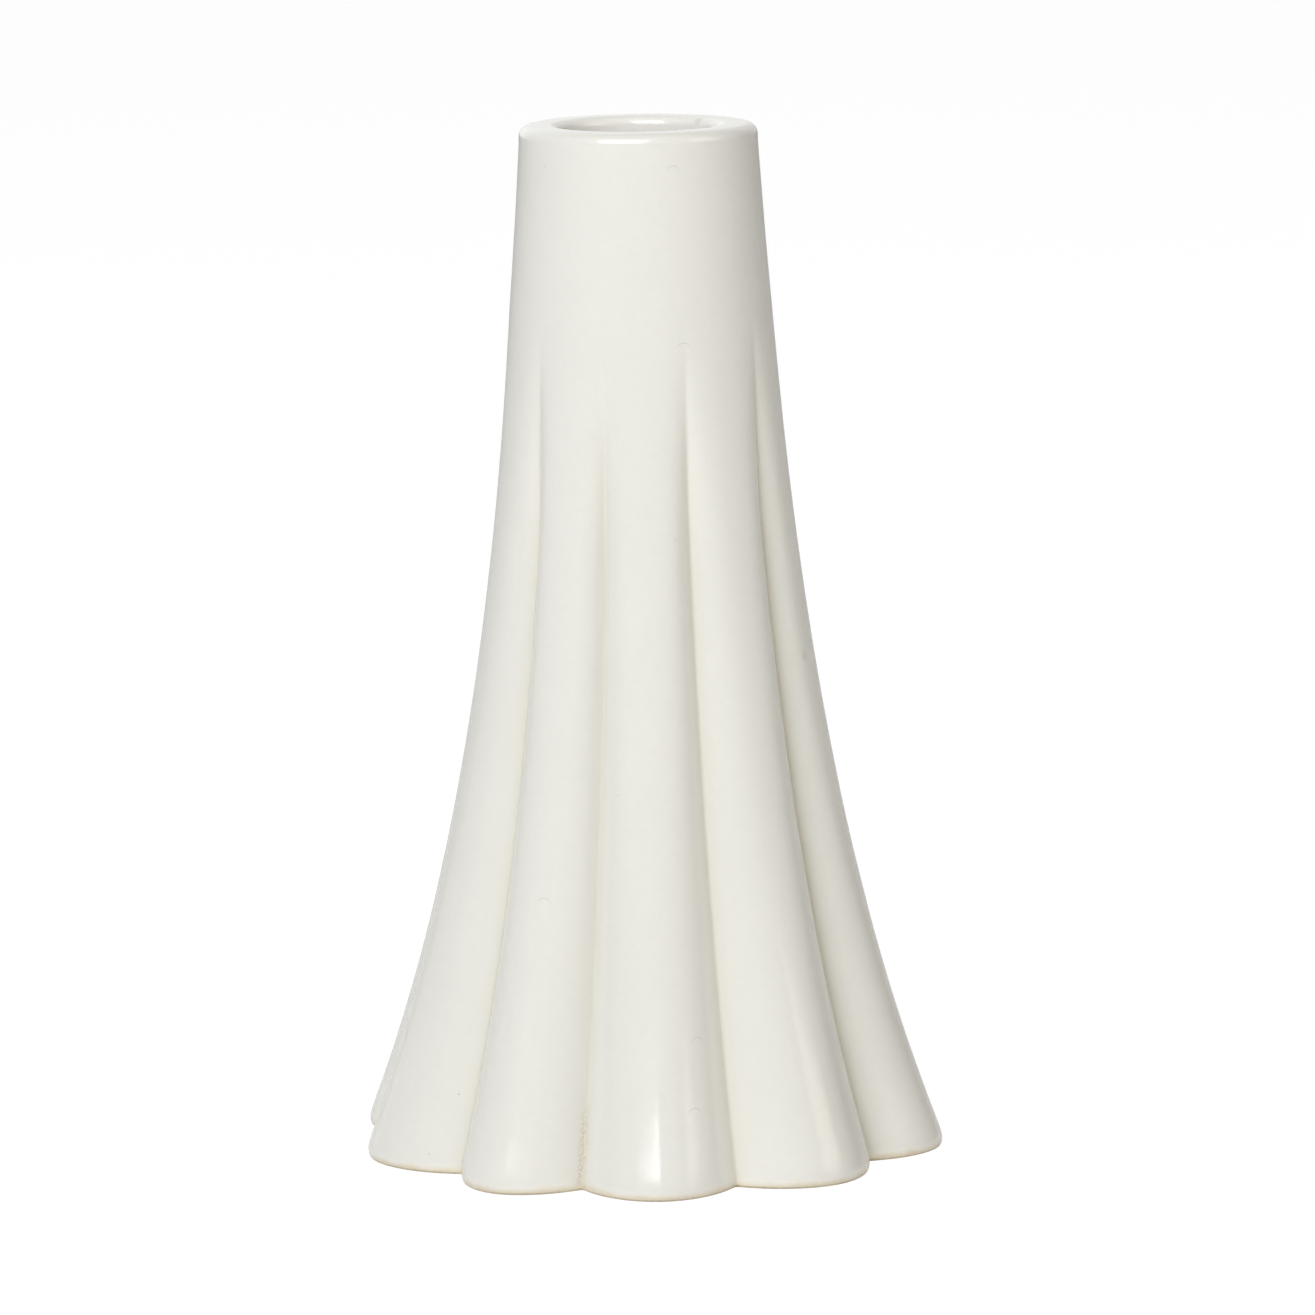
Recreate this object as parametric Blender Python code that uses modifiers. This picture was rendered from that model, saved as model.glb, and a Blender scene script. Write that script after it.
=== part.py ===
"""Ceramic bud vase: a fluted, slip-cast stoneware body with an outer and an inner glaze coat.

Metres, +Z up. The origin is the centre of the foot on the table, and a flute crest faces -Y.
"""

import math

import bpy
import numpy as np

# Overall size.
HEIGHT = 0.150
MOUTH_RADIUS = 0.0116
MOUTH_EDGE_RADIUS = 0.0014
LIP_RADIUS = 0.0017

# Outline of the flute crests: a slender neck that swells towards the foot.
NECK_RADIUS = 0.01451
SWELL = 0.02994
SWELL_HEIGHT = 0.0742
TAPER = 0.0081
FOOT_TUCK = 0.00112
FOOT_TUCK_HEIGHT = 0.00075

# Flutes: round lobes at the foot that narrow to creases and run out below the rim.
# The creases are a little uneven round the vase, in degrees from the front crest towards +X.
CREASES = (17.5, 55.8, 92.0, 128.0, 164.0, 202.0, 238.8, 266.7, 310.2, 342.5)
FLUTE_DEPTH_AT_FOOT = 0.160
FLUTE_DEPTH_AT_NECK = 0.106
FLUTE_RUN_OUT = (0.088, 0.126)
FLUTE_ROUNDNESS_AT_FOOT = 1.86
FLUTE_ROUNDNESS_AT_NECK = 4.86

# Wall build-up, from the outside in.
GLAZE = 0.00045
GAP = 0.00035
CLAY = 0.0039
CLAY_AT_FOOT = 0.0050

# Foot and floor.
GLAZE_EDGE_HEIGHT = 0.0006
FOOT_EDGE_RADIUS = 0.0005
FOOT_RING_WIDTH = 0.0050
FOOT_RECESS = 0.0015
RECESS_EDGE = 0.0010
FLOOR_HEIGHT = 0.0065
FLOOR_CORNER = 0.0080
GLAZE_JOINT_DEPTH = 0.0095

# Mesh density, and the sharpest bend that is still shaded smooth.
LOBES = len(CREASES)
STEPS_AROUND = 8 * LOBES
WALL_RINGS = (6, 4, 1)
WALL_CROWDING = 1.25
CORNER_RINGS = 3
SMOOTH_BEND = math.radians(45)


def smooth_step(low, high, value):
    t = min(max((value - low) / (high - low), 0.0), 1.0)
    return t * t * (3.0 - 2.0 * t)


def crest_radius(z):
    """Radius of the finished outer surface along a flute crest."""
    swell = SWELL * math.exp(-z / SWELL_HEIGHT)
    tuck = FOOT_TUCK * math.exp(-z / FOOT_TUCK_HEIGHT)
    return NECK_RADIUS + swell - TAPER * z - tuck


def wall_thickness(z):
    """Whole wall from the outer glaze to the inner glaze."""
    clay = CLAY + (CLAY_AT_FOOT - CLAY) * (1.0 - smooth_step(0.0, HEIGHT, z))
    return 2.0 * (GLAZE + GAP) + clay


def outside(z, inset):
    """Radius of a surface this far inside the finished outer surface."""
    return crest_radius(z) - inset


def inside(z, inset):
    """Radius of a surface this far outside the finished inner surface."""
    neck = MOUTH_RADIUS + inset
    cavity = crest_radius(z) - wall_thickness(z) + inset
    return max(neck, cavity)


def uneven_angle(lobes):
    """Angle in radians of a place counted in lobes, with crests at whole numbers."""
    counts = [i - 0.5 for i in range(LOBES + 2)]
    angles = [CREASES[-1] - 360.0, *CREASES, CREASES[0] + 360.0]
    return math.radians(np.interp(lobes % LOBES, counts, angles))


def fluted(point):
    """Moves a point of the plain turned vase to its place on the fluted one."""
    x, y, z = point
    radius = math.hypot(x, y)
    if radius < 1e-9:
        return point
    lobes = math.atan2(x, -y) * LOBES / (2.0 * math.pi)
    from_crest = 2.0 * abs(lobes - round(lobes))
    up = min(z / FLUTE_RUN_OUT[1], 1.0)
    depth = FLUTE_DEPTH_AT_FOOT + (FLUTE_DEPTH_AT_NECK - FLUTE_DEPTH_AT_FOOT) * up
    depth *= 1.0 - smooth_step(*FLUTE_RUN_OUT, z)
    power = FLUTE_ROUNDNESS_AT_FOOT
    power += (FLUTE_ROUNDNESS_AT_NECK - FLUTE_ROUNDNESS_AT_FOOT) * up**2
    share = min(radius / crest_radius(z), 1.0)
    radius *= 1.0 - depth * share * from_crest**power
    angle = uneven_angle(lobes)
    return (radius * math.sin(angle), -radius * math.cos(angle), z)


def wall_heights(low, high):
    """Ring heights: the full flutes closest together near the foot, their run-out, the neck."""
    ends = [low, FLUTE_RUN_OUT[0], FLUTE_RUN_OUT[1], high]
    heights = [low]
    for start, end, rings in zip(ends, ends[1:], WALL_RINGS):
        spread = WALL_CROWDING if start == low else 1.0
        heights += [start + (end - start) * (i / rings) ** spread for i in range(1, rings + 1)]
    return heights


def arc(centre, radius, start, end, rings=CORNER_RINGS):
    """Points of a corner in the profile plane, angles in degrees from +X."""
    angles = [math.radians(start + (end - start) * i / rings) for i in range(rings + 1)]
    return [(centre[0] + radius * math.cos(a), centre[1] + radius * math.sin(a)) for a in angles]


def lip(inset):
    """The rolled rim, from its tighter inner edge over the top to its outer edge."""
    inner = (MOUTH_RADIUS + MOUTH_EDGE_RADIUS, HEIGHT - MOUTH_EDGE_RADIUS)
    outer = (crest_radius(HEIGHT - LIP_RADIUS) - LIP_RADIUS, HEIGHT - LIP_RADIUS)
    rolled_in = arc(inner, MOUTH_EDGE_RADIUS - inset, 180, 90)
    return rolled_in + arc(outer, LIP_RADIUS - inset, 90, 0)


def outer_wall(inset, low):
    """Down the outside, from just under the lip."""
    heights = wall_heights(low, HEIGHT - LIP_RADIUS)[:-1]
    return [(outside(z, inset), z) for z in reversed(heights)]


def inner_wall(inset, low, high):
    """Up the inside."""
    return [(inside(z, inset), z) for z in wall_heights(low, high)]


def floor_corner(inset):
    """Cavity floor and its rounded corner, outwards from the axis."""
    top = FLOOR_HEIGHT - inset
    radius = FLOOR_CORNER + inset
    wall_x = inside(FLOOR_HEIGHT + FLOOR_CORNER, inset)
    corner = arc((wall_x - radius, top + radius), radius, -90, 0)
    return [(0.0, top), (0.5 * corner[0][0], top)] + corner[:-1]


def body_profile():
    inset = GLAZE + GAP
    above_floor = FLOOR_HEIGHT + FLOOR_CORNER
    foot_x = outside(FOOT_EDGE_RADIUS, inset)
    recess_x = foot_x - FOOT_RING_WIDTH
    profile = floor_corner(inset)
    profile += inner_wall(inset, above_floor, HEIGHT - LIP_RADIUS)[:-1]
    profile += lip(inset)
    profile += outer_wall(inset, GLAZE_EDGE_HEIGHT)
    edge = (foot_x - FOOT_EDGE_RADIUS, FOOT_EDGE_RADIUS)
    profile += arc(edge, FOOT_EDGE_RADIUS, 0, -90)[1:]
    profile += [(recess_x + RECESS_EDGE, 0.0), (recess_x, 0.5 * FOOT_RECESS)]
    profile += [(recess_x - RECESS_EDGE, FOOT_RECESS), (0.5 * recess_x, FOOT_RECESS)]
    profile += [(0.0, FOOT_RECESS)]
    return profile


def outer_glaze_profile():
    joint = HEIGHT - GLAZE_JOINT_DEPTH
    seen = [(inside(joint, 0.0), joint)] + lip(0.0) + outer_wall(0.0, GLAZE_EDGE_HEIGHT)
    backing = [(inside(joint, GLAZE), joint)] + lip(GLAZE) + outer_wall(GLAZE, GLAZE_EDGE_HEIGHT)
    return seen + backing[::-1] + seen[:1]


def inner_glaze_profile():
    joint = HEIGHT - GLAZE_JOINT_DEPTH - GAP
    above_floor = FLOOR_HEIGHT + FLOOR_CORNER
    seen = floor_corner(0.0) + inner_wall(0.0, above_floor, joint)
    backing = floor_corner(GLAZE) + inner_wall(GLAZE, above_floor, joint)
    return seen + backing[::-1]


def material(name, colour, roughness, coat=0.0):
    made = bpy.data.materials.new(name)
    made.use_nodes = True
    shader = made.node_tree.nodes["Principled BSDF"]
    shader.inputs["Base Color"].default_value = (*colour, 1.0)
    shader.inputs["Roughness"].default_value = roughness
    shader.inputs["Metallic"].default_value = 0.0
    shader.inputs["Coat Weight"].default_value = coat
    made.diffuse_color = (*colour, 1.0)
    return made


def turned(name, profile, collection):
    """A profile turned about Z with a Screw modifier, as a mesh of its own."""
    mesh = bpy.data.meshes.new(name + "_profile")
    edges = [(i, i + 1) for i in range(len(profile) - 1)]
    mesh.from_pydata([(x, 0.0, z) for x, z in profile], edges, [])
    blank = bpy.data.objects.new(name + "_blank", mesh)
    collection.objects.link(blank)
    screw = blank.modifiers.new("turn", "SCREW")
    screw.axis = "Z"
    screw.angle = 2.0 * math.pi
    screw.steps = STEPS_AROUND
    screw.render_steps = STEPS_AROUND
    screw.use_merge_vertices = True
    screw.merge_threshold = 0.00001
    graph = bpy.context.evaluated_depsgraph_get()
    made = bpy.data.meshes.new_from_object(blank.evaluated_get(graph))
    made.name = name
    bpy.data.objects.remove(blank)
    bpy.data.meshes.remove(mesh)
    return made


def fluted_piece(name, profile, look, collection):
    mesh = turned(name, profile, collection)
    points = np.empty(3 * len(mesh.vertices))
    mesh.vertices.foreach_get("co", points)
    points = np.array([fluted(point) for point in points.reshape(-1, 3)])
    mesh.vertices.foreach_set("co", points.reshape(-1))
    mesh.update()
    mesh.shade_smooth()
    mesh.set_sharp_from_angle(angle=SMOOTH_BEND)
    mesh.materials.clear()
    mesh.materials.append(look)
    piece = bpy.data.objects.new(name, mesh)
    collection.objects.link(piece)
    # Facing surfaces split along the same diagonals, so the gap between them stays open.
    split = piece.modifiers.new("facets", "TRIANGULATE")
    split.quad_method = "SHORTEST_DIAGONAL"
    return piece


def main():
    for old in list(bpy.data.objects):
        bpy.data.objects.remove(old)
    collection = bpy.data.collections.new("ceramic_bud_vase")
    bpy.context.scene.collection.children.link(collection)
    clay = material("bare_stoneware", (0.56, 0.46, 0.33), 0.85)
    glaze = material("satin_white_glaze", (0.80, 0.78, 0.72), 0.32, 0.25)
    liner = material("liner_glaze", (0.76, 0.73, 0.66), 0.38, 0.15)
    fluted_piece("stoneware_body", body_profile(), clay, collection)
    fluted_piece("outer_glaze", outer_glaze_profile(), glaze, collection)
    fluted_piece("inner_glaze", inner_glaze_profile(), liner, collection)


main()
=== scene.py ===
"""Ceramic bud vase: its glaze coats, clay body, studio light and camera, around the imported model.

Metres, +Z up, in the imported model's frame: the foot stands on Z = 0 and a flute crest faces -Y.
"""

import math

import bpy
import numpy as np
from mathutils import Matrix, Vector, noise


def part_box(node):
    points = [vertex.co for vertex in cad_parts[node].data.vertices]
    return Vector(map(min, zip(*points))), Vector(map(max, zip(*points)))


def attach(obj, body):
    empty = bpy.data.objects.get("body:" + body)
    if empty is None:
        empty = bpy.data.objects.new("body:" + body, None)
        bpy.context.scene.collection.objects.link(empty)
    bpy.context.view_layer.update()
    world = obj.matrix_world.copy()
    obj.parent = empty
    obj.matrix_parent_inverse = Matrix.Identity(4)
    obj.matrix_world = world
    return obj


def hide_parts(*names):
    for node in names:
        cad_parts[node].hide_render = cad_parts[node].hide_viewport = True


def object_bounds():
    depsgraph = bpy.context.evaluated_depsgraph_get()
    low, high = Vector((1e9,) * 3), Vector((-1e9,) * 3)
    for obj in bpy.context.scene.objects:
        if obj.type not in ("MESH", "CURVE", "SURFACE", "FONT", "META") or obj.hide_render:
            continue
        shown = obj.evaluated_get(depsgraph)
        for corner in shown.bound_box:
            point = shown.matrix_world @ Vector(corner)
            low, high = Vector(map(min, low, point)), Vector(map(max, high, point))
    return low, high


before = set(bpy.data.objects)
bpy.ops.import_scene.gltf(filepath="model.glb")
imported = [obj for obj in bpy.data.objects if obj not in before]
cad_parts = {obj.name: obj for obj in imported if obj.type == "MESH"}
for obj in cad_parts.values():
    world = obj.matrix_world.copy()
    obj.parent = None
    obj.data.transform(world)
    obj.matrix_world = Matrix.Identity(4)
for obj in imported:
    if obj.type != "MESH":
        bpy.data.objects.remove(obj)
CAD_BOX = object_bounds()

# Overall size, and where the two glaze coats meet inside the neck.
HEIGHT = CAD_BOX[1].z
MOUTH_RADIUS = 0.0116
MOUTH_EDGE_RADIUS = 0.0014
LIP_RADIUS = 0.0017
LINER_TOP_GAP = 0.00015
JOINT_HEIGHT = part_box("inner_glaze")[1].z + 0.0002

# Outline of the flute crests: a slender neck that swells towards the foot.
NECK_RADIUS = 0.01451
SWELL = 0.02994
SWELL_HEIGHT = 0.0742
TAPER = 0.0081
FOOT_TUCK = 0.00112
FOOT_TUCK_HEIGHT = 0.00075

# Flutes. Each crease lies this many degrees from the front crest towards +X.
CREASES = (17.5, 55.8, 92.0, 128.0, 164.0, 202.0, 238.8, 266.7, 310.2, 342.5)
LOBES = len(CREASES)
FLUTE_DEPTH_AT_FOOT = 0.160
FLUTE_DEPTH_AT_NECK = 0.106
FLUTE_RUN_OUT = (0.088, 0.126)
FLUTE_ROUNDNESS_AT_FOOT = 1.86
FLUTE_ROUNDNESS_AT_NECK = 4.86
CREASE_FILLET = 0.00035
# Crease tint, partly pooled glaze tone and partly painted crease shade: how far it reaches from
# each crease.
CREASE_TINT_WIDTH = 0.0010
# Painted shade: the crease at this place in lobes gets its crease tint this many times stronger.
PAINTED_SHADE_CREASE_LOBES = 1.5
PAINTED_SHADE_CREASE_TINT = 1.8

# Wall build-up, from the outside in.
GLAZE = 0.00045
GLAZE_AT_FOOT = 0.00016
GLAZE_THINS_BELOW = 0.0040
GAP = 0.00035
CLAY = 0.0039
CLAY_AT_FOOT = 0.0050
CLEARANCE = 0.00002
BOX_MARGIN = 0.00005

# Foot and floor.
GLAZE_EDGE_HEIGHT = 0.00036
FOOT_EDGE_RADIUS = 0.0004
FOOT_EDGE_INSET = 0.7 * GLAZE_AT_FOOT
FOOT_RING_WIDTH = 0.0050
FOOT_RECESS = 0.0015
RECESS_EDGE = 0.0010
FLOOR_HEIGHT = 0.0065
FLOOR_CORNER = 0.0080

# Mesh density: columns across a lobe, and rings along each stretch of the seen and hidden faces.
GLAZE_COLUMNS = 36
BODY_COLUMNS = 24
LINER_COLUMNS = 12
COLUMNS_CROWD = 0.80
LOW_BAND = 0.0120
LOW_BAND_CROWD = 1.4
LOW_BAND_RINGS = 32
HIGH_BAND_RINGS = 140
HIDDEN_LOW_RINGS = 9
HIDDEN_HIGH_RINGS = 26
THROAT_RINGS = 12
LIP_RINGS = 11
HIDDEN_LIP_RINGS = 5
GLAZE_EDGE_RINGS = 6
FOOT_EDGE_RINGS = 8
FOOT_RING_RINGS = 8
UNDERSIDE_RINGS = 24
BODY_CORNER_RINGS = 6
LINER_CORNER_RINGS = 10
LINER_RINGS = 80
HIDDEN_LINER_RINGS = 30

# Slow ripples of the poured glaze: depth and length of each.
RIPPLES = ((0.000045, 0.0110), (0.000022, 0.0042))

# Colours: the two coats, a painted light on the mouth's inner lip, the glaze pooled in creases
# together with painted crease shade, the glaze thinned at the foot, and its flaws.
OUTER_GLAZE = (0.80, 0.793, 0.747)
INNER_GLAZE = (0.76, 0.74, 0.68)
# Painted light: a whiter colour that brightens the mouth's inner lip.
MOUTH_PAINTED_LIGHT = (0.90, 0.89, 0.85)
# Darker warm tint by the creases: partly the pooled glaze's own tone, partly painted crease shade.
POOLED_GLAZE_AND_SHADE = (0.66, 0.63, 0.53)
THIN_GLAZE = (0.74, 0.67, 0.53)
SPECK = (0.32, 0.27, 0.20)
CRUST = (0.60, 0.53, 0.41)
LIGHT_CLAY = (0.60, 0.53, 0.40)
DARK_CLAY = (0.52, 0.44, 0.32)
SAND = (0.38, 0.30, 0.20)
GROG = (0.20, 0.13, 0.08)

# Finish of the glaze: its shine, how strongly each tint shows, and the sizes of its textures.
GLAZE_IOR = 1.58
GLAZE_ROUGHNESS = (0.12, 0.16)
MOTTLE_SIZE = 0.014
FINE_SIZE = 0.0012
FINE_TINT = 0.25
# Strength of the crease tint: pooled glaze tone together with painted crease shade.
POOLED_AND_SHADE_TINT = 0.6
CRUST_TINT = 0.7
SPECK_TINT = 0.65
THIN_BAND = (0.0014, 0.0003)
THIN_WANDER = 0.0002
WANDER_SIZE = 0.002

# Relief of the glaze, next to its fine grain.
WAVE_SIZE = 0.0025
WAVE_RELIEF = 2.5
MARK_RELIEF = 2.0
CRUST_RELIEF = 5.0

# The gritty crust in the crease left of the front flute: its place and how far it reaches.
CRUST_LOBES = -0.5
CRUST_HEIGHT = 0.005
CRUST_REACH = 0.009
GRIT_SIZE = 0.00028

# Marks in the glaze, by their place in lobes and their height: pinholes and one soft smudge,
# each with its radius and strength, curled hair marks, and a smudge inside the back of the rim.
SPOTS = (
    (-1.65, 0.0028, 0.00018, 1.0),
    (-1.54, 0.1450, 0.00018, 1.0),
    (-1.58, 0.0114, 0.00018, 1.0),
    (-0.30, 0.0560, 0.00015, 1.0),
    (0.30, 0.0920, 0.00015, 1.0),
    (1.81, 0.0729, 0.00090, 0.25),
)
RIM_SMUDGE_LOBES = 3.59
RIM_SMUDGE_RADIUS = 0.0009
SMUDGE_STRENGTH = 0.3
HAIR_MARKS = ((0.43, 0.1454), (0.48, 0.1201), (0.27, 0.0220), (0.22, 0.0124), (-0.90, 0.0412))
HAIR_CURL = 0.0011
HAIR_WIDTH = 0.00007
HAIR_STRENGTH = 0.5

# Sparse dots all over: the cell of their grid, the share of cells with one, and their radius.
GLAZE_DOTS = (0.007, 0.2, 0.00010)
GROG_DOTS = (0.0016, 0.3, 0.00019)


def smooth_step(low, high, value):
    t = np.clip((value - low) / (high - low), 0.0, 1.0)
    return t * t * (3.0 - 2.0 * t)


def crest_radius(z):
    """Radius of the finished outer surface along a flute crest."""
    swell = SWELL * np.exp(-z / SWELL_HEIGHT)
    tuck = FOOT_TUCK * np.exp(-z / FOOT_TUCK_HEIGHT)
    return NECK_RADIUS + swell - TAPER * z - tuck


def wall_thickness(z):
    """Whole wall, from the outer face of one glaze coat to that of the other."""
    clay = CLAY + (CLAY_AT_FOOT - CLAY) * (1.0 - smooth_step(0.0, HEIGHT, z))
    return 2.0 * (GLAZE + GAP) + clay


def glaze_thickness(z):
    """The outer coat thins towards its lower edge."""
    thin = 1.0 - smooth_step(GLAZE_EDGE_HEIGHT, GLAZE_THINS_BELOW, z)
    return GLAZE + (GLAZE_AT_FOOT - GLAZE) * thin


def cavity_radius(z, inset=0.0):
    """Radius of a surface this far behind the inner glaze. The throat narrows to the mouth."""
    throat = smooth_step(HEIGHT - MOUTH_EDGE_RADIUS, JOINT_HEIGHT, z)
    narrow = crest_radius(z) - wall_thickness(z) - MOUTH_RADIUS
    return MOUTH_RADIUS + throat * narrow + inset


def crease_distance(lobes):
    """Distance to the nearest crease in half lobes: 0 at a crease, 1 at a crest."""
    return 1.0 - 2.0 * np.abs(lobes - np.round(lobes))


def crest_angle(lobes):
    """Angle in radians of a place counted in lobes, with crests at whole numbers."""
    counts = [i - 0.5 for i in range(LOBES + 2)]
    angles = [CREASES[-1] - 360.0, *CREASES, CREASES[0] + 360.0]
    return np.radians(np.interp(lobes % LOBES, counts, angles))


def fluted(radius, lobes, z):
    """Places of points given by radius on the crests, place in lobes, and height."""
    half_lobe = math.pi * crest_radius(z) / LOBES
    fillet = CREASE_FILLET / half_lobe
    to_crease = crease_distance(lobes)
    from_crest = 1.0 - np.sqrt(to_crease**2 + fillet**2) + 0.5 * fillet**2 * to_crease
    up = np.minimum(z / FLUTE_RUN_OUT[1], 1.0)
    depth = FLUTE_DEPTH_AT_FOOT + (FLUTE_DEPTH_AT_NECK - FLUTE_DEPTH_AT_FOOT) * up
    depth = depth * (1.0 - smooth_step(*FLUTE_RUN_OUT, z))
    power = FLUTE_ROUNDNESS_AT_FOOT
    power = power + (FLUTE_ROUNDNESS_AT_NECK - FLUTE_ROUNDNESS_AT_FOOT) * up**2
    share = np.minimum(radius / crest_radius(z), 1.0)
    radius = radius * (1.0 - depth * share * np.clip(from_crest, 0.0, 1.0) ** power)
    angle = crest_angle(lobes)
    return np.stack([radius * np.sin(angle), -radius * np.cos(angle), z + 0.0 * angle], axis=-1)


def column_places(per_lobe):
    """Columns of the mesh, in lobes, closest together at the creases."""
    t = np.arange(per_lobe) / per_lobe * 2.0 - 1.0
    t = (1.0 - COLUMNS_CROWD) * t + COLUMNS_CROWD * np.sin(0.5 * math.pi * t)
    return np.concatenate([lobe + 0.5 * t for lobe in range(LOBES)])


def loft(name, profile, columns, looped):
    """A closed mesh through (radius, z) rings. Without a loop its ends lie on the axis."""
    rings = np.array(profile)
    ends = not looped
    body = rings[1:-1] if ends else rings
    places = fluted(body[:, :1], columns[None, :], body[:, 1:])
    count, around = places.shape[:2]
    points = places.reshape(-1, 3)
    index = np.arange(count * around).reshape(count, around)
    upper = index if looped else index[:-1]
    lower = np.roll(index, -1, axis=0) if looped else index[1:]
    quads = np.stack(
        [upper, lower, np.roll(lower, -1, axis=1), np.roll(upper, -1, axis=1)], axis=-1
    )
    faces = quads.reshape(-1, 4).tolist()
    if ends:
        first, last = len(points), len(points) + 1
        points = np.vstack([points, [0.0, 0.0, rings[0, 1]], [0.0, 0.0, rings[-1, 1]]])
        faces += [(first, index[0, j], index[0, (j + 1) % around]) for j in range(around)]
        faces += [(last, index[-1, (j + 1) % around], index[-1, j]) for j in range(around)]
    mesh = bpy.data.meshes.new(name)
    mesh.from_pydata(points.tolist(), [], faces)
    mesh.shade_smooth()
    piece = bpy.data.objects.new(name, mesh)
    bpy.context.scene.collection.objects.link(piece)
    return piece


def arc(centre, radius, start, end, rings):
    """Points of a corner in the profile plane, angles in degrees from +X."""
    angles = np.radians(np.linspace(start, end, rings + 1))
    return [(centre[0] + radius * math.cos(a), centre[1] + radius * math.sin(a)) for a in angles]


def lip(inset, rings):
    """The rolled rim, from its tighter inner edge over the top to its outer edge."""
    inner = (MOUTH_RADIUS + MOUTH_EDGE_RADIUS, HEIGHT - MOUTH_EDGE_RADIUS)
    outer = (crest_radius(HEIGHT - LIP_RADIUS) - LIP_RADIUS, HEIGHT - LIP_RADIUS)
    rolled_in = arc(inner, MOUTH_EDGE_RADIUS - inset, 180, 90, rings)
    return rolled_in + arc(outer, LIP_RADIUS - inset, 90, 0, rings)


def outer_wall(heights, inset):
    """Down the outside. inset gives the depth behind the finished surface at each height."""
    return [(float(crest_radius(z) - inset(z)), float(z)) for z in heights]


def fine_heights(low, high):
    """Ring heights downwards, closer together in the low band, where the foot curls in."""
    upper = np.linspace(high, LOW_BAND, HIGH_BAND_RINGS)
    lower = low + (LOW_BAND - low) * np.linspace(1.0, 0.0, LOW_BAND_RINGS) ** LOW_BAND_CROWD
    return np.concatenate([upper, lower[1:]])


def coarse_heights(low, high):
    """Ring heights downwards for a surface that the glaze hides."""
    upper = np.linspace(high, LOW_BAND, HIDDEN_HIGH_RINGS)
    return np.concatenate([upper, np.linspace(LOW_BAND, low, HIDDEN_LOW_RINGS)[1:]])


def outer_glaze_profile():
    lip_base = HEIGHT - LIP_RADIUS
    mouth_base = HEIGHT - MOUTH_EDGE_RADIUS
    heights = np.linspace(JOINT_HEIGHT, mouth_base, THROAT_RINGS)[1:-1]
    throat = [(float(cavity_radius(z)), float(z)) for z in heights]
    joint_x = float(cavity_radius(JOINT_HEIGHT)) + 0.5 * GLAZE
    edge = arc((joint_x, JOINT_HEIGHT), 0.5 * GLAZE, 360, 180, GLAZE_EDGE_RINGS)[1:]
    heights = fine_heights(GLAZE_EDGE_HEIGHT, lip_base)
    seen = edge + throat + lip(0.0, LIP_RINGS)
    seen += outer_wall(heights[1:], lambda z: BOX_MARGIN)
    bead = 0.5 * GLAZE_AT_FOOT
    centre = crest_radius(GLAZE_EDGE_HEIGHT) - BOX_MARGIN - bead
    seen += arc((centre, GLAZE_EDGE_HEIGHT), bead, 0, -180, GLAZE_EDGE_RINGS)[1:-1]
    hidden = [(x + GLAZE, z) for x, z in throat] + lip(GLAZE, HIDDEN_LIP_RINGS)[:-1]
    hidden += outer_wall(coarse_heights(GLAZE_EDGE_HEIGHT, lip_base), glaze_thickness)
    return seen + hidden[::-1]


def body_profile():
    inset = GLAZE + CLEARANCE
    lip_base = HEIGHT - LIP_RADIUS
    above_floor = FLOOR_HEIGHT + FLOOR_CORNER
    floor = FLOOR_HEIGHT - inset
    corner_x = cavity_radius(above_floor, inset) - FLOOR_CORNER
    profile = [(0.0, floor), (0.5 * corner_x, floor)]
    corner = (corner_x, floor + FLOOR_CORNER)
    profile += arc(corner, FLOOR_CORNER, -90, 0, BODY_CORNER_RINGS)[:-1]
    heights = coarse_heights(above_floor, lip_base)[::-1]
    profile += [(float(cavity_radius(z, inset)), float(z)) for z in heights[:-1]]
    profile += lip(inset, HIDDEN_LIP_RINGS)
    heights = coarse_heights(GLAZE_EDGE_HEIGHT + FOOT_EDGE_RADIUS, lip_base)[1:]
    profile += outer_wall(heights, lambda z: glaze_thickness(z) + CLEARANCE)
    foot_x = crest_radius(FOOT_EDGE_RADIUS) - FOOT_EDGE_INSET
    edge = (foot_x - FOOT_EDGE_RADIUS, FOOT_EDGE_RADIUS)
    profile += arc(edge, FOOT_EDGE_RADIUS, 0, -90, FOOT_EDGE_RINGS)
    recess_x = foot_x - FOOT_RING_WIDTH
    ring = np.linspace(edge[0], recess_x + RECESS_EDGE, FOOT_RING_RINGS)[1:]
    profile += [(float(x), 0.0) for x in ring]
    profile += [(recess_x + 0.3 * RECESS_EDGE, 0.3 * FOOT_RECESS)]
    profile += [(recess_x - 0.3 * RECESS_EDGE, 0.7 * FOOT_RECESS)]
    underside = np.linspace(recess_x - RECESS_EDGE, 0.0, UNDERSIDE_RINGS)
    profile += [(float(x), FOOT_RECESS) for x in underside]
    return profile


def liner_profile():
    above_floor = FLOOR_HEIGHT + FLOOR_CORNER
    top = JOINT_HEIGHT - LINER_TOP_GAP - 0.5 * GLAZE

    def coat(inset, rings):
        floor = FLOOR_HEIGHT - inset
        corner_x = cavity_radius(above_floor, inset) - FLOOR_CORNER
        made = [(0.0, floor), (0.3 * corner_x, floor), (0.6 * corner_x, floor)]
        corner = (corner_x, floor + FLOOR_CORNER)
        made += arc(corner, FLOOR_CORNER, -90, 0, LINER_CORNER_RINGS)[:-1]
        heights = np.linspace(above_floor, top, rings)
        return made + [(float(cavity_radius(z, inset)), float(z)) for z in heights]

    seen, hidden = coat(0.0, LINER_RINGS), coat(GLAZE, HIDDEN_LINER_RINGS)
    centre = (float(cavity_radius(top)) + 0.5 * GLAZE, top)
    edge = arc(centre, 0.5 * GLAZE, 180, 0, GLAZE_EDGE_RINGS)[1:-1]
    return seen + edge + hidden[::-1]


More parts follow.
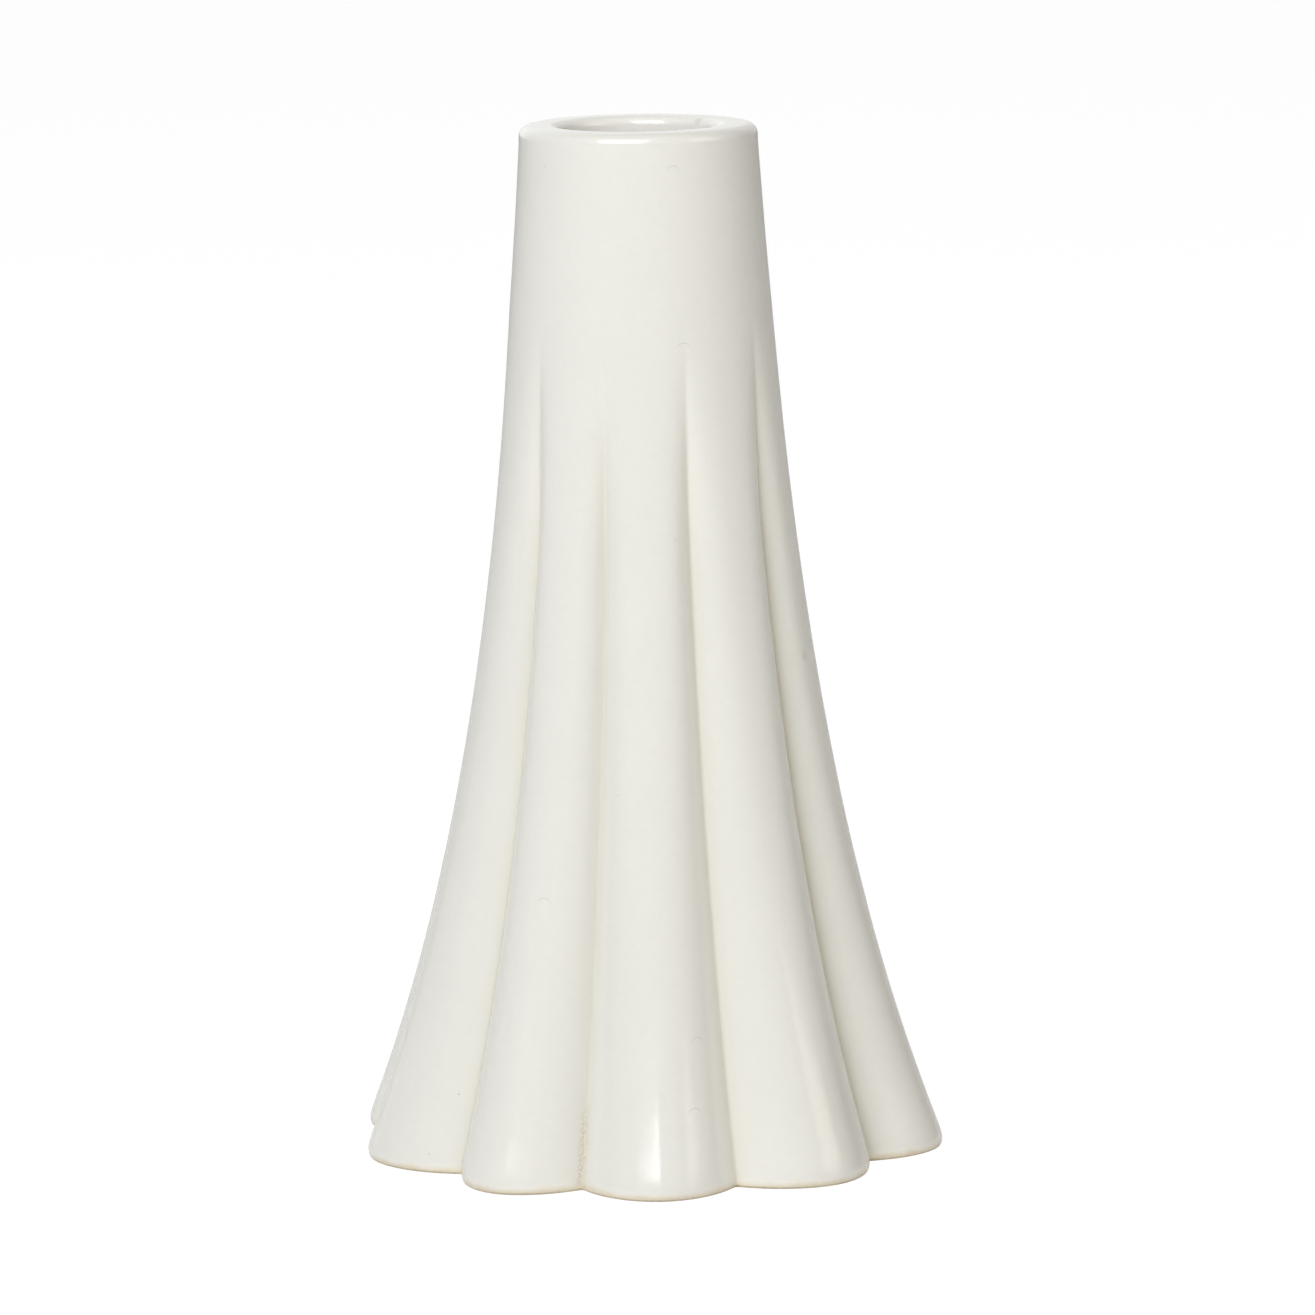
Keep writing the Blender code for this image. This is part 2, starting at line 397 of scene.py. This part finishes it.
def ripple(piece):
    """Sinks the glaze's face by the slow ripples of its pour. Every move is inwards."""
    points = np.empty(3 * len(piece.data.vertices))
    piece.data.vertices.foreach_get("co", points)
    points = points.reshape(-1, 3)
    radius = np.hypot(points[:, 0], points[:, 1])
    sink = np.zeros(len(points))
    for depth, length in RIPPLES:
        sink += [0.5 * depth * (1.0 + noise.noise(Vector(p) / length)) for p in points]
    points[:, :2] *= (1.0 - sink / radius)[:, None]
    piece.data.vertices.foreach_set("co", points.reshape(-1))
    piece.data.update()


def mark_creases(piece, columns, rings):
    """Stores how near each point lies to a crease, for the glaze's pooled tone and painted crease
    shade; one crease gets more of it as painted shade.
    """
    lobes = np.tile(columns, rings)
    z = np.empty(3 * len(piece.data.vertices))
    piece.data.vertices.foreach_get("co", z)
    z = z.reshape(-1, 3)[:, 2]
    distance = crease_distance(lobes) * math.pi * crest_radius(z) / LOBES
    near = np.exp(-distance / CREASE_TINT_WIDTH) * (1.0 - smooth_step(*FLUTE_RUN_OUT, z))
    # Painted shade: one crease gets a stronger tint, standing in for the deeper shade in its fold.
    near *= np.where(np.abs(lobes - PAINTED_SHADE_CREASE_LOBES) < 0.5, PAINTED_SHADE_CREASE_TINT, 1.0)
    attribute = piece.data.attributes.new("crease", "FLOAT", "POINT")
    attribute.data.foreach_set("value", near.astype(np.float32))


def node(tree, kind, inputs=None, **settings):
    """A shader node. Its inputs are numbers or other nodes' outputs."""
    made = tree.nodes.new("ShaderNode" + kind)
    for name, value in settings.items():
        setattr(made, name, value)
    for socket, value in (inputs or {}).items():
        if isinstance(value, bpy.types.NodeSocket):
            tree.links.new(value, made.inputs[socket])
        else:
            made.inputs[socket].default_value = value
    return made


def new_material(name):
    """An empty material with its node tree and its Principled shader."""
    made = bpy.data.materials.new(name)
    made.use_nodes = True
    tree = made.node_tree
    tree.nodes.clear()
    shader = node(tree, "BsdfPrincipled")
    node(tree, "OutputMaterial", {"Surface": shader.outputs["BSDF"]})
    return made, tree, shader


def grain(tree, places, size, detail=2.0):
    """Soft noise from 0 to 1 with features of this size in metres."""
    inputs = {"Vector": places, "Scale": 1.0 / size, "Detail": detail}
    return node(tree, "TexNoise", inputs).outputs[0]


def fade(tree, value, start, end, low=0.0, high=1.0):
    """Goes smoothly from low to high as value goes from start to end."""
    inputs = {"Value": value, "From Min": start, "From Max": end, "To Min": low, "To Max": high}
    return node(tree, "MapRange", inputs, interpolation_type="SMOOTHSTEP").outputs[0]


def blend(tree, factor, first, second):
    """A mix of two colours, each a triple or another node's output."""
    made = node(tree, "Mix", {}, data_type="RGBA")
    for socket, value in ((0, factor), (6, first), (7, second)):
        if isinstance(value, bpy.types.NodeSocket):
            tree.links.new(value, made.inputs[socket])
        else:
            made.inputs[socket].default_value = value if socket == 0 else (*value, 1.0)
    return made.outputs[2]


def calculate(tree, operation, first, second=0.0):
    return node(tree, "Math", {0: first, 1: second}, operation=operation).outputs[0]


def distance_from(tree, places, point):
    inputs = {0: places, 1: point}
    return node(tree, "VectorMath", inputs, operation="DISTANCE").outputs["Value"]


def sparse_dots(tree, places, cell, share, radius):
    """Dots of this radius in some of the cells of a Voronoi grid. All sizes are in metres."""
    grid = node(tree, "TexVoronoi", {"Vector": places, "Scale": 1.0 / cell})
    pick = node(tree, "SeparateColor", {0: grid.outputs["Color"]}).outputs[0]
    chosen = fade(tree, pick, 1.0 - share, 1.01 - share)
    near = fade(tree, grid.outputs["Distance"], 1.2 * radius / cell, 0.8 * radius / cell)
    return calculate(tree, "MULTIPLY", near, chosen)


def near_point(tree, places, point, radius):
    """1 at the point, falling smoothly to 0 at the radius."""
    return fade(tree, distance_from(tree, places, point), radius, 0.4 * radius)


def on_surface(lobes, z):
    """The place on the finished surface at this place in lobes and this height."""
    return tuple(fluted(crest_radius(z), np.array(lobes), z))


def hair_mark(tree, places, point):
    """A short piece of a thin ring that passes through the point."""
    centre = (point[0], point[1], point[2] - HAIR_CURL)
    away = calculate(tree, "SUBTRACT", distance_from(tree, places, centre), HAIR_CURL)
    off = calculate(tree, "ABSOLUTE", away)
    line = fade(tree, off, HAIR_WIDTH, 0.4 * HAIR_WIDTH)
    return calculate(tree, "MULTIPLY", line, near_point(tree, places, point, 1.3 * HAIR_CURL))


def flaws(tree, places):
    """Where the glaze is marked: spots, hair marks and a smudge, and sparse dots all over."""
    marks = [
        (near_point(tree, places, on_surface(lobes, z), radius), strength)
        for lobes, z, radius, strength in SPOTS
    ]
    rim_radius = MOUTH_RADIUS + 0.25 * MOUTH_EDGE_RADIUS
    rim_height = HEIGHT - 0.3 * MOUTH_EDGE_RADIUS
    rim_place = tuple(fluted(rim_radius, np.array(RIM_SMUDGE_LOBES), rim_height))
    marks.append((near_point(tree, places, rim_place, RIM_SMUDGE_RADIUS), SMUDGE_STRENGTH))
    marks += [
        (hair_mark(tree, places, on_surface(lobes, z)), HAIR_STRENGTH) for lobes, z in HAIR_MARKS
    ]
    found = sparse_dots(tree, places, *GLAZE_DOTS)
    for mark, strength in marks:
        found = calculate(tree, "MAXIMUM", found, calculate(tree, "MULTIPLY", mark, strength))
    return found


def crust_share(tree, places, crease):
    """How much of the gritty crust covers each place."""
    near = near_point(tree, places, on_surface(CRUST_LOBES, CRUST_HEIGHT), CRUST_REACH)
    near = calculate(tree, "MULTIPLY", near, fade(tree, crease, 0.25, 0.7))
    grit = fade(tree, grain(tree, places, GRIT_SIZE, 4.0), 0.44, 0.56)
    return calculate(tree, "MULTIPLY", near, grit)


def glaze_material(name, colour, creased):
    """Satin cream glaze: mottled, warm where it pools or thins, with specks and hair marks. On the
    outer coat the crease tint is also painted crease shade, and the mouth's inner lip gets a
    painted light.
    """
    made, tree, shader = new_material(name)
    places = node(tree, "TexCoord").outputs["Object"]
    height = node(tree, "SeparateXYZ", {"Vector": places}).outputs["Z"]
    mottle = grain(tree, places, MOTTLE_SIZE)
    fine = grain(tree, places, FINE_SIZE)
    look = blend(tree, fade(tree, mottle, 0.2, 0.8), [c * 0.99 for c in colour], colour)
    darker = [c * 0.95 for c in colour]
    look = blend(tree, fade(tree, fine, 0.4, 0.7, 0.0, FINE_TINT), look, darker)
    if creased:
        crease = node(tree, "Attribute", attribute_name="crease").outputs["Fac"]
        # Crease tint: pooled glaze tone together with painted crease shade.
        crease_pool_and_shade = calculate(tree, "MULTIPLY", crease, POOLED_AND_SHADE_TINT)
        look = blend(tree, calculate(tree, "MINIMUM", crease_pool_and_shade, 1.0), look, POOLED_GLAZE_AND_SHADE)
        crust = crust_share(tree, places, crease)
        look = blend(tree, calculate(tree, "MULTIPLY", crust, CRUST_TINT), look, CRUST)
        # Painted light: the mouth's inner lip is blended towards a whiter colour.
        flat = node(tree, "VectorMath", {0: places, 1: (1.0, 1.0, 0.0)}, operation="MULTIPLY")
        radius = distance_from(tree, flat.outputs[0], (0.0, 0.0, 0.0))
        edge = MOUTH_RADIUS + MOUTH_EDGE_RADIUS
        look = blend(tree, fade(tree, radius, edge, MOUTH_RADIUS), look, MOUTH_PAINTED_LIGHT)
    wander = grain(tree, places, WANDER_SIZE)
    wander = fade(tree, wander, 0.3, 0.7, -THIN_WANDER, THIN_WANDER)
    ragged = calculate(tree, "ADD", height, wander)
    look = blend(tree, fade(tree, ragged, *THIN_BAND), look, THIN_GLAZE)
    marks = flaws(tree, places)
    look = blend(tree, calculate(tree, "MULTIPLY", marks, SPECK_TINT), look, SPECK)
    tree.links.new(look, shader.inputs["Base Color"])
    roughness = fade(tree, mottle, 0.3, 0.7, *GLAZE_ROUGHNESS)
    tree.links.new(roughness, shader.inputs["Roughness"])
    shader.inputs["IOR"].default_value = GLAZE_IOR
    waves = calculate(tree, "MULTIPLY", grain(tree, places, WAVE_SIZE), WAVE_RELIEF)
    relief = calculate(tree, "SUBTRACT", fine, calculate(tree, "MULTIPLY", marks, MARK_RELIEF))
    relief = calculate(tree, "ADD", relief, waves)
    if creased:
        raised = calculate(tree, "MULTIPLY", crust, CRUST_RELIEF)
        relief = calculate(tree, "ADD", relief, raised)
    bump = node(tree, "Bump", {"Height": relief, "Strength": 0.15, "Distance": 0.00004})
    tree.links.new(bump.outputs[0], shader.inputs["Normal"])
    return made


def clay_material(name):
    """Bare tan stoneware: sandy grain, cloudy toasting and dark grog."""
    made, tree, shader = new_material(name)
    places = node(tree, "TexCoord").outputs["Object"]
    sand = grain(tree, places, 0.0005, 4.0)
    cloud = grain(tree, places, 0.010)
    look = blend(tree, fade(tree, cloud, 0.3, 0.7), DARK_CLAY, LIGHT_CLAY)
    look = blend(tree, fade(tree, sand, 0.45, 0.75, 0.0, 0.5), look, SAND)
    look = blend(tree, sparse_dots(tree, places, *GROG_DOTS), look, GROG)
    tree.links.new(look, shader.inputs["Base Color"])
    tree.links.new(fade(tree, sand, 0.3, 0.7, 0.78, 0.92), shader.inputs["Roughness"])
    bump = node(tree, "Bump", {"Height": sand, "Strength": 0.5, "Distance": 0.00012})
    tree.links.new(bump.outputs[0], shader.inputs["Normal"])
    return made


def make_vase():
    columns = column_places(GLAZE_COLUMNS)
    rings = outer_glaze_profile()
    glaze = loft("glaze_coat", rings, columns, True)
    ripple(glaze)
    mark_creases(glaze, columns, len(rings))
    body = loft("clay_body", body_profile(), column_places(BODY_COLUMNS), False)
    liner = loft("liner_coat", liner_profile(), column_places(LINER_COLUMNS), False)
    outer_look = glaze_material("outer_coat", OUTER_GLAZE, True)
    clay_look = clay_material("fired_clay")
    inner_look = glaze_material("inner_coat", INNER_GLAZE, False)
    looks = (
        (glaze, "outer_glaze", "satin_white_glaze", outer_look),
        (body, "stoneware_body", "bare_stoneware", clay_look),
        (liner, "inner_glaze", "liner_glaze", inner_look),
    )
    for piece, cad_node, slot, look in looks:
        piece.data.materials.append(look)
        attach(piece, "root")
        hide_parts(cad_node)


# Camera, as distances in vase heights and angles in degrees.
CAMERA_DISTANCE = 7.2966
CAMERA_AZIMUTH = -1.384
CAMERA_ELEVATION = 9.291
CAMERA_ROLL = -0.833
CAMERA_LENS_MM = 204.35
AIM_RIGHT = 0.01129
AIM_UP = 0.47695

# Soft boxes: azimuth, elevation, distance, width, height, power in watts and colour.
SOFT_BOXES = {
    "key": (-20.0, 43.0, 2.5, 1.7, 1.5, 59.5, (1.0, 1.0, 1.0)),
    "strip": (69.0, 30.0, 2.5, 1.4, 1.4, 9.5, (1.0, 0.91, 0.76)),
}

# Glows of the sky: azimuth, elevation, cosine of the half width, and strength.
SKY_GLOWS = ((180.0, 10.0, 0.5, 0.80), (-140.0, 10.0, 0.6, 0.52), (0.0, 90.0, 0.3, 0.09))
BACKDROP_STRENGTH = 0.95
WHITE = (1.0, 1.0, 1.0, 1.0)

# The floor's half side, its depth under the foot, and its paper as the camera and the vase see it.
FLOOR_SIDE = 12.0
FLOOR_DEPTH = 0.00002
PAPER_SEEN = (0.12, 0.12, 0.12)
PAPER = (0.88, 0.88, 0.87)
PAPER_GLOW_SEEN = 0.94
PAPER_GLOW = 0.06


def direction(azimuth, elevation):
    """Unit vector from the vase towards a place round it. Azimuth 0 is -Y, and 90 is +X."""
    a, e = math.radians(azimuth), math.radians(elevation)
    return Vector((math.sin(a) * math.cos(e), -math.cos(a) * math.cos(e), math.sin(e)))


def make_camera():
    data = bpy.data.cameras.new("camera")
    data.sensor_width = 36.0
    data.lens = CAMERA_LENS_MM
    data.clip_start = 0.01
    data.clip_end = 50.0
    camera = bpy.data.objects.new("camera", data)
    bpy.context.scene.collection.objects.link(camera)
    right = direction(CAMERA_AZIMUTH + 90.0, 0.0)
    back = direction(CAMERA_AZIMUTH, CAMERA_ELEVATION)
    aim = HEIGHT * (AIM_RIGHT * right + AIM_UP * Vector((0.0, 0.0, 1.0)))
    turned = (-back).to_track_quat("-Z", "Y").to_matrix().to_4x4()
    camera.matrix_world = (
        Matrix.Translation(aim + HEIGHT * CAMERA_DISTANCE * back)
        @ turned
        @ Matrix.Rotation(math.radians(CAMERA_ROLL), 4, "Z")
    )
    bpy.context.scene.camera = camera


def make_light(name, azimuth, elevation, distance, width, height, power, colour):
    """A soft box that faces the middle of the vase."""
    data = bpy.data.lights.new(name, "AREA")
    data.shape = "RECTANGLE"
    data.size = width
    data.size_y = height
    data.energy = power
    data.color = colour
    lamp = bpy.data.objects.new(name, data)
    bpy.context.scene.collection.objects.link(lamp)
    towards = direction(azimuth, elevation)
    lamp.location = Vector((0.0, 0.0, 0.5 * HEIGHT)) + distance * towards
    lamp.rotation_euler = (-towards).to_track_quat("-Z", "Y").to_euler()
    lamp.visible_camera = False


def glow(tree, towards, azimuth, elevation, edge, strength):
    """A soft patch of light on the sky. edge is the cosine of its half width."""
    inputs = {0: towards, 1: direction(azimuth, elevation)}
    facing = node(tree, "VectorMath", inputs, operation="DOT_PRODUCT").outputs["Value"]
    return fade(tree, facing, edge, 1.0, 0.0, strength)


def make_floor():
    """A floor that the camera sees as nearly even white, and that lights the vase as paper."""
    mesh = bpy.data.meshes.new("floor")
    signs = ((-1, -1), (1, -1), (1, 1), (-1, 1))
    mesh.from_pydata([(x * FLOOR_SIDE, y * FLOOR_SIDE, 0.0) for x, y in signs], [], [(0, 1, 2, 3)])
    floor = bpy.data.objects.new("floor", mesh)
    floor.location.z = -FLOOR_DEPTH
    bpy.context.scene.collection.objects.link(floor)
    made, tree, shader = new_material("pale_floor")
    seen = node(tree, "LightPath").outputs["Is Camera Ray"]
    paper = blend(tree, seen, PAPER, PAPER_SEEN)
    tree.links.new(paper, shader.inputs["Base Color"])
    shader.inputs["Roughness"].default_value = 0.9
    shader.inputs["Specular IOR Level"].default_value = 0.0
    shader.inputs["Emission Color"].default_value = WHITE
    shine = fade(tree, seen, 0.0, 1.0, PAPER_GLOW, PAPER_GLOW_SEEN)
    tree.links.new(shine, shader.inputs["Emission Strength"])
    mesh.materials.append(made)


def make_sky():
    """White to the camera. To the vase, dark in front and glowing behind, most on the left."""
    world = bpy.data.worlds.new("studio")
    bpy.context.scene.world = world
    world.use_nodes = True
    tree = world.node_tree
    tree.nodes.clear()
    seen = node(tree, "LightPath").outputs["Is Camera Ray"]
    towards = node(tree, "TexCoord").outputs["Generated"]
    strength = 0.0
    for patch in SKY_GLOWS:
        strength = calculate(tree, "ADD", strength, glow(tree, towards, *patch))
    light = node(tree, "Background", {"Color": WHITE, "Strength": strength})
    backdrop = node(tree, "Background", {"Color": WHITE, "Strength": BACKDROP_STRENGTH})
    mixed = node(tree, "MixShader", {0: seen, 1: light.outputs[0], 2: backdrop.outputs[0]})
    node(tree, "OutputWorld", {"Surface": mixed.outputs[0]})


def make_studio():
    make_floor()
    make_sky()
    for name, box in SOFT_BOXES.items():
        make_light(name, *box)
    view = bpy.context.scene.view_settings
    view.view_transform = "Standard"
    view.look = "None"


make_vase()
make_camera()
make_studio()

bpy.context.view_layer.update()
